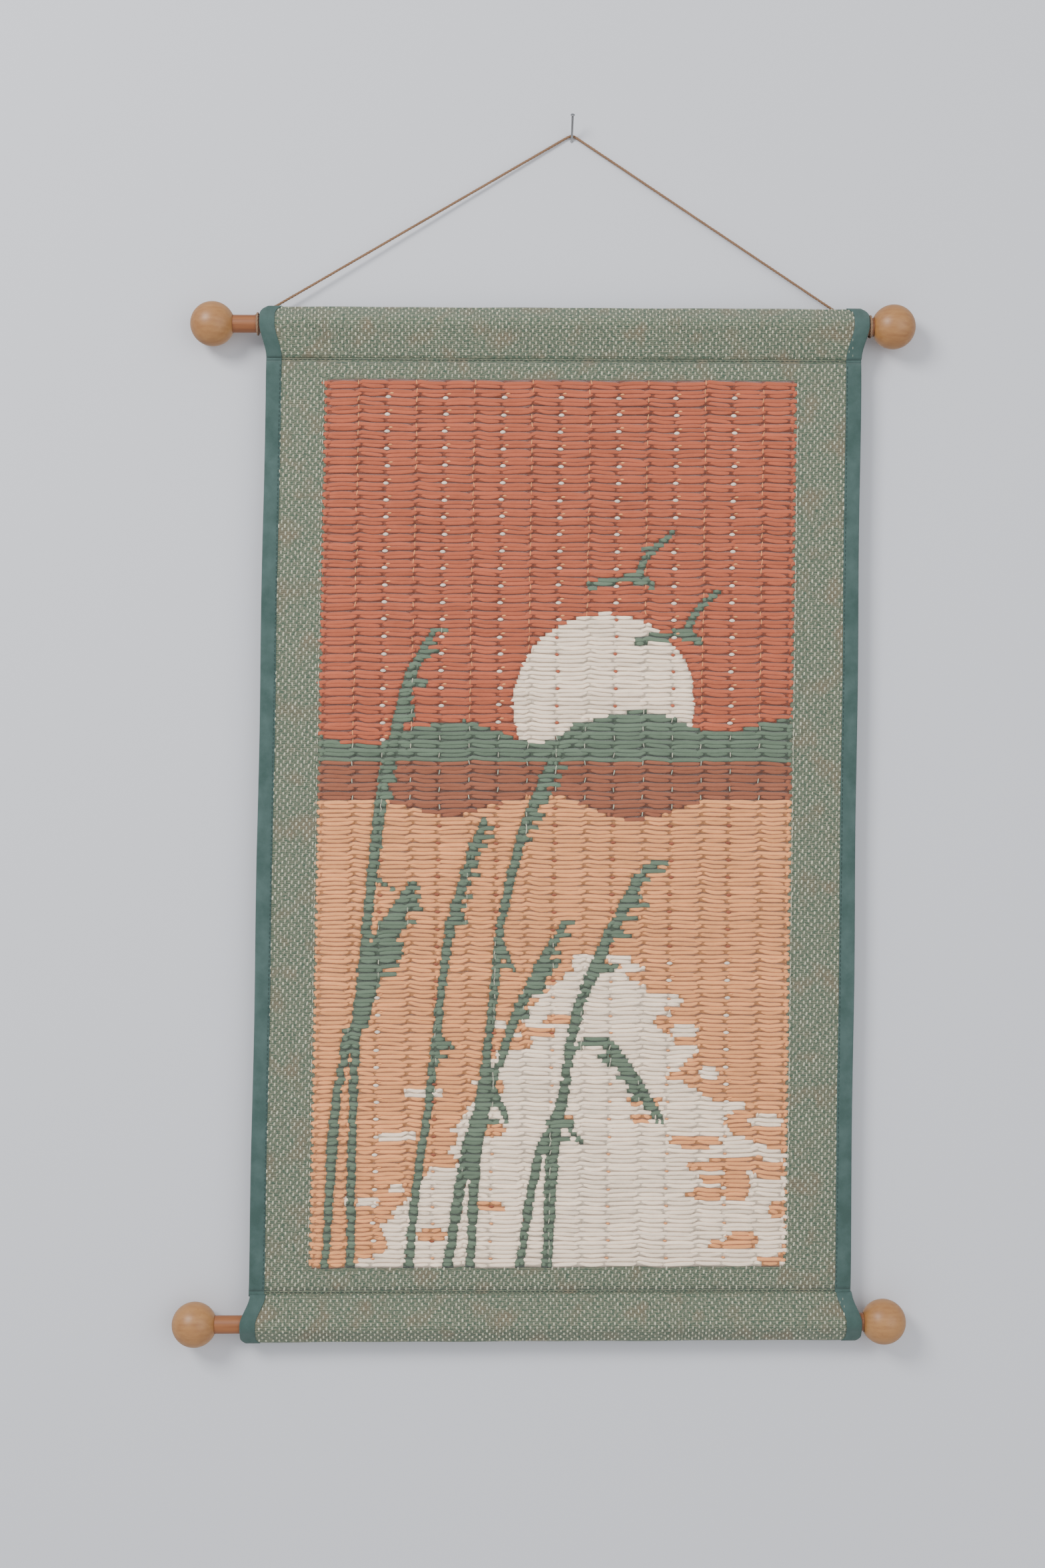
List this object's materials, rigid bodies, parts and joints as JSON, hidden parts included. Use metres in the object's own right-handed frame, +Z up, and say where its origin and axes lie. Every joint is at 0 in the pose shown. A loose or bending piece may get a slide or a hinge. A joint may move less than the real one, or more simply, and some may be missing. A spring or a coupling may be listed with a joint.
{
  "type": "wall hanging",
  "caption": "Woven cloth wall hanging with a picture of reeds, water and a low sun, sleeved on wooden rods with ball ends and hung by a cord on a nail.",
  "frame": {"origin": "the point where the nail's shank goes into the wall, in the plane of the wall", "axes": "+Z up, +X to the right seen from the front, the front faces -Y; the wall is the plane y = 0"},
  "size_m": [0.4996, 0.0415, 0.8289],
  "materials": {
    "nail_steel": "plain bright wire nail",
    "jute_cord": "twisted brown jute twine",
    "rod_wood": "turned hardwood dowel, thin clear coat",
    "ball_wood": "turned beech ball, thin clear coat",
    "ground_cloth": "ribbed cotton ground weave, grey-green with pale warp ticks",
    "binding_tape": "plain teal cotton bias tape",
    "sewing_thread": "matt sewing thread",
    "rust_yarn": "soft cotton weft floats, rust",
    "cream_yarn": "soft cotton weft floats, cream",
    "green_yarn": "soft cotton weft floats, grey-green",
    "brown_yarn": "soft cotton weft floats, brown",
    "apricot_yarn": "soft cotton weft floats, apricot"
  },
  "bodies": {
    "wall": {"wall_nail": "nail_steel"},
    "hanger": {"hanging_cord": "jute_cord", "cord_tie_left": "jute_cord", "cord_tie_right": "jute_cord", "upper_rod": "rod_wood", "upper_sleeve": "ground_cloth", "upper_sleeve_binding_left": "binding_tape", "upper_sleeve_binding_right": "binding_tape", "upper_seam_thread": "sewing_thread"},
    "upper_left_ball": {"upper_left_ball": "ball_wood"},
    "upper_right_ball": {"upper_right_ball": "ball_wood"},
    "panel": {"ground_cloth": "ground_cloth", "panel_binding_left": "binding_tape", "panel_binding_right": "binding_tape", "binding_thread_left": "sewing_thread", "binding_thread_right": "sewing_thread", "sky_weft": "rust_yarn", "sun_weft": "cream_yarn", "hill_weft": "green_yarn", "shore_weft": "brown_yarn", "water_weft": "apricot_yarn", "reflection_weft": "cream_yarn", "reed_weft": "green_yarn", "bird_weft": "green_yarn"},
    "lower_hem": {"lower_sleeve": "ground_cloth", "lower_sleeve_binding_left": "binding_tape", "lower_sleeve_binding_right": "binding_tape", "lower_seam_thread": "sewing_thread"},
    "lower_rod": {"lower_rod": "rod_wood"},
    "lower_left_ball": {"lower_left_ball": "ball_wood"},
    "lower_right_ball": {"lower_right_ball": "ball_wood"}
  },
  "joints": [
    {"name": "level_swing", "type": "hinge", "parent": "wall", "child": "hanger", "pos_m": [0, -0.0013, 0.0011], "axis": [0, 1, 0], "range_deg": [-4, 4]},
    {"name": "panel_swing", "type": "hinge", "parent": "hanger", "child": "panel", "pos_m": [-0.0056, -0.015, -0.15495], "axis": [-1, 0, 0], "range_deg": [0, 60]},
    {"name": "hem_swing", "type": "hinge", "parent": "panel", "child": "lower_hem", "pos_m": [-0.0154, -0.015, -0.77745], "axis": [-1, 0, 0], "range_deg": [-30, 75]},
    {"name": "lower_rod_slide", "type": "slide", "parent": "lower_hem", "child": "lower_rod", "axis": [1, 0, 0], "range_m": [-0.001, 0.015]},
    {"name": "upper_left_ball_pull", "type": "slide", "parent": "hanger", "child": "upper_left_ball", "axis": [-1, 0, 0], "range_m": [0, 0.012]},
    {"name": "upper_right_ball_pull", "type": "slide", "parent": "hanger", "child": "upper_right_ball", "axis": [1, 0, 0], "range_m": [0, 0.012]},
    {"name": "lower_left_ball_pull", "type": "slide", "parent": "lower_rod", "child": "lower_left_ball", "axis": [-1, 0, 0], "range_m": [0, 0.012]},
    {"name": "lower_right_ball_pull", "type": "slide", "parent": "lower_rod", "child": "lower_right_ball", "axis": [1, 0, 0], "range_m": [0, 0.012]}
  ]
}
